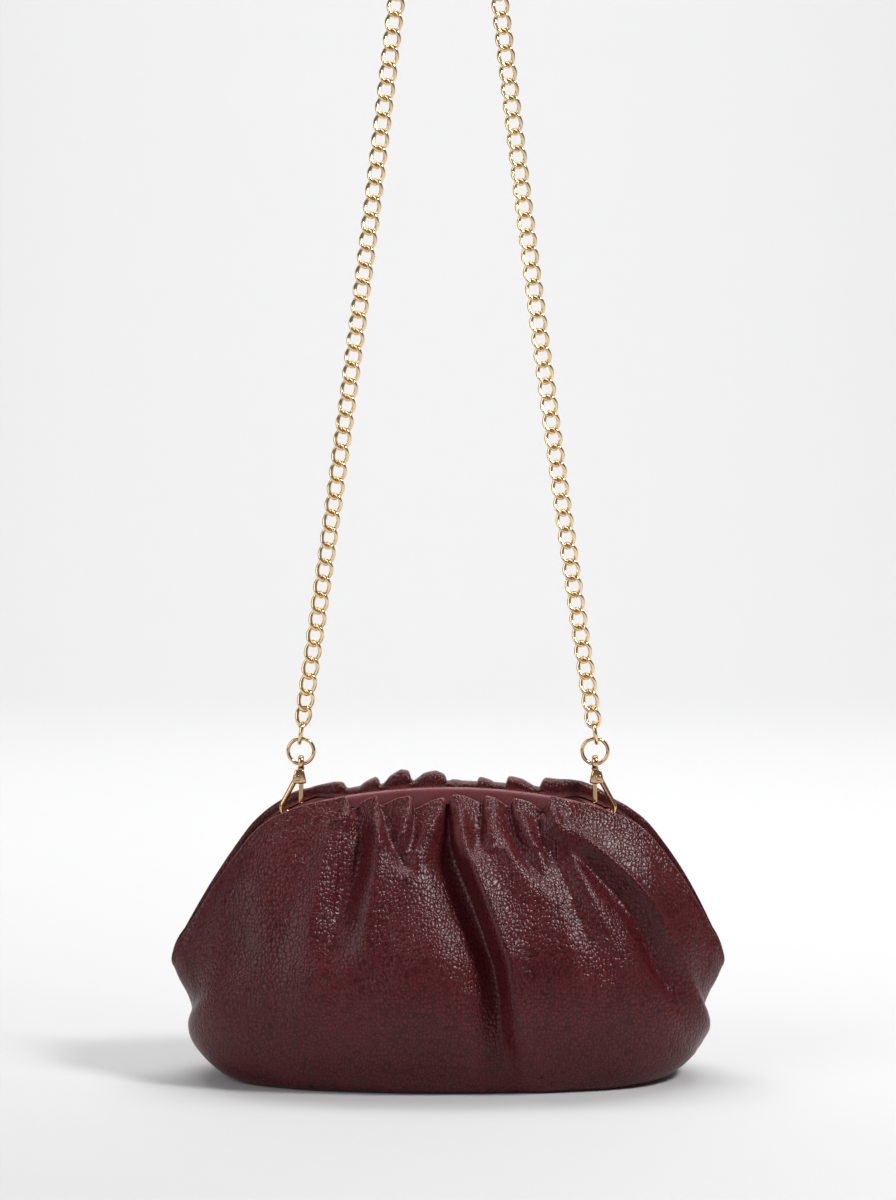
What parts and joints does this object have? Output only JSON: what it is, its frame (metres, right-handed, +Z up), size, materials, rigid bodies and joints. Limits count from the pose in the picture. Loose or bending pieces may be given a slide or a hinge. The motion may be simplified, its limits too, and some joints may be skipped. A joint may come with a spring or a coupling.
{
  "type": "hinged-frame pleated clutch bag with chain strap",
  "caption": "Pleated leather frame bag that opens at two side hinges, with a gold curb-chain strap on swivel snap hooks.",
  "frame": {"origin": "on the surface that the bag stands on, under the middle of the bag", "axes": "+X to the right seen from the front, +Y from the front to the back, +Z up"},
  "size_m": [0.273, 0.12, 0.5679],
  "materials": {
    "leather": "pebbled, satin",
    "lining": "matte",
    "gold": "polished",
    "steel": "plated",
    "board": "matte"
  },
  "bodies": {
    "body": {"back_leather": "leather", "front_leather": "leather", "back_lining": "lining", "front_lining": "lining", "slip_pocket": "lining", "base_board": "board", "back_frame_bar": "steel", "back_frame_cover": "leather", "hinge_rivet_left": "gold", "hinge_rivet_right": "gold", "back_magnet_left": "gold", "back_magnet_right": "gold", "strap_loop_left": "gold", "strap_loop_right": "gold"},
    "front_frame": {"front_frame_bar": "steel", "front_frame_cover": "leather", "front_magnet_left": "gold", "front_magnet_right": "gold"},
    "strap_hooks": {"snap_hook_left": "gold", "snap_hook_right": "gold", "gate_pin_left": "gold", "gate_pin_right": "gold", "swivel_eye_left": "gold", "swivel_eye_right": "gold"},
    "left_gate": {"hook_gate_left": "gold"},
    "right_gate": {"hook_gate_right": "gold"},
    "strap": {"o_ring_left": "gold", "o_ring_right": "gold", "chain_end_link_left": "gold", "chain_end_link_right": "gold", "chain_left_run": "gold", "chain_right_run": "gold", "chain_top_bight": "gold"}
  },
  "joints": [
    {"name": "front_frame_open", "type": "hinge", "parent": "body", "child": "front_frame", "pos_m": [0, 0, 0.057], "axis": [1, 0, 0], "range_deg": [0, 60], "deforming": ["front_leather", "front_lining"]},
    {"name": "strap_hook_tilt", "type": "hinge", "parent": "body", "child": "strap_hooks", "pos_m": [0, 0, 0.1323], "axis": [1, 0, 0], "range_deg": [-18, 18]},
    {"name": "strap_swing", "type": "hinge", "parent": "strap_hooks", "child": "strap", "pos_m": [0, 0, 0.1561], "axis": [1, 0, 0], "range_deg": [-60, 60]},
    {"name": "left_gate_open", "type": "hinge", "parent": "strap_hooks", "child": "left_gate", "pos_m": [-0.0748, 0, 0.14928], "axis": [0, 1, 0], "range_deg": [0, 16], "stiffness_Nm_per_rad": 0.002, "springref_deg": -11.46},
    {"name": "right_gate_open", "type": "hinge", "parent": "strap_hooks", "child": "right_gate", "pos_m": [0.0748, 0, 0.14928], "axis": [0, -1, 0], "range_deg": [0, 16], "stiffness_Nm_per_rad": 0.002, "springref_deg": -11.46}
  ]
}
